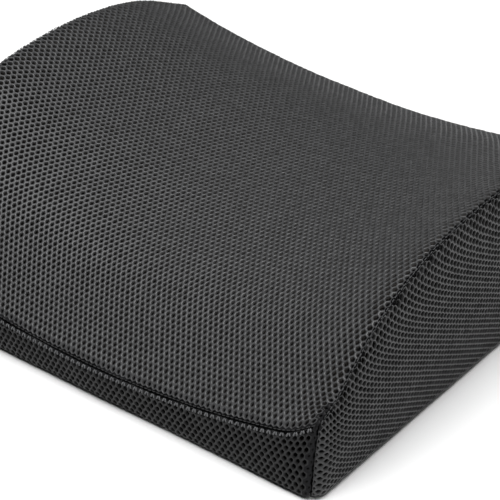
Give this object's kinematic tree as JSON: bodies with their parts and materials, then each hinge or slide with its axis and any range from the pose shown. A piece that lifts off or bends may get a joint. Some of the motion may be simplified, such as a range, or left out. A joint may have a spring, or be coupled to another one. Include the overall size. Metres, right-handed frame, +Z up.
{
  "type": "lumbar support cushion",
  "caption": "Wedge-shaped lumbar cushion: contoured memory foam in a zipped spacer-mesh cover, with an elastic buckled chair strap on its flat back.",
  "frame": {"origin": "centre of the bounding box on the resting plane, under the cushion lying on its flat back", "axes": "+X across the width, +Y from the thin end to the thick end, +Z up out of the face that meets the sitter's back"},
  "size_m": [0.343, 0.3159, 0.1177],
  "materials": {
    "spacer_mesh": "matte knitted spacer mesh",
    "memory_foam": "matte open-cell foam",
    "knitted_liner": "matte knit",
    "thread": "twisted polyester",
    "zip_tape": "woven",
    "zip_coil": "nylon",
    "zip_metal": "satin black lacquer",
    "elastic_webbing": "ribbed elastic",
    "buckle_plastic": "satin moulded"
  },
  "bodies": {
    "cushion": {"foam_core": "memory_foam", "liner_cap": "knitted_liner", "liner_back": "knitted_liner", "cover_top_panel": "spacer_mesh", "cover_back_panel": "spacer_mesh", "cover_side_left": "spacer_mesh", "cover_side_right": "spacer_mesh", "cover_thin_band": "spacer_mesh", "cover_thick_band_upper": "spacer_mesh", "cover_thick_band_lower": "spacer_mesh", "seam_thread_side_left": "thread", "seam_thread_side_right": "thread", "seam_thread_corner_thin_left": "thread", "seam_thread_corner_thin_right": "thread", "seam_thread_corner_thick_left": "thread", "seam_thread_corner_thick_right": "thread", "seam_thread_thin_edge": "thread", "seam_thread_thick_edge": "thread", "seam_thread_back": "thread", "zip_tape_upper": "zip_tape", "zip_tape_lower": "zip_tape", "zip_coil_upper": "zip_coil", "zip_coil_lower": "zip_coil", "zip_stop_open_end": "zip_metal", "zip_stop_closed_end": "zip_metal", "strap_webbing_left": "elastic_webbing", "strap_webbing_right": "elastic_webbing", "buckle_socket": "buckle_plastic"},
    "zip_slider": {"zip_slider": "zip_metal"},
    "zip_pull_tab": {"zip_pull_tab": "zip_metal"},
    "strap_keeper": {"strap_keeper": "buckle_plastic"},
    "buckle_plug": {"buckle_plug": "buckle_plastic"},
    "buckle_arm_left": {"buckle_arm_left": "buckle_plastic"},
    "buckle_arm_right": {"buckle_arm_right": "buckle_plastic"}
  },
  "joints": [
    {"name": "zip_slide", "type": "slide", "parent": "cushion", "child": "zip_slider", "axis": [-1, 0, 0], "range_m": [0, 0.268]},
    {"name": "pull_tab_turn", "type": "hinge", "parent": "zip_slider", "child": "zip_pull_tab", "pos_m": [0.134, 0.1563, 0.032], "axis": [0, 0, -1], "range_deg": [0, 180]},
    {"name": "plug_slide", "type": "slide", "parent": "cushion", "child": "buckle_plug", "axis": [1, 0, 0], "range_m": [0, 0.024], "deforming": ["strap_webbing_right"]},
    {"name": "arm_left_squeeze", "type": "hinge", "parent": "buckle_plug", "child": "buckle_arm_left", "pos_m": [0.0142, -0.0013, 0.004], "axis": [0, 0, -1], "range_deg": [0, 8], "stiffness_Nm_per_rad": 0.3},
    {"name": "arm_right_squeeze", "type": "hinge", "parent": "buckle_plug", "child": "buckle_arm_right", "pos_m": [0.0142, 0.0253, 0.004], "axis": [0, 0, 1], "range_deg": [0, 8], "stiffness_Nm_per_rad": 0.3},
    {"name": "keeper_slide", "type": "slide", "parent": "cushion", "child": "strap_keeper", "axis": [1, 0, 0], "range_m": [-0.02, 0.02]}
  ]
}
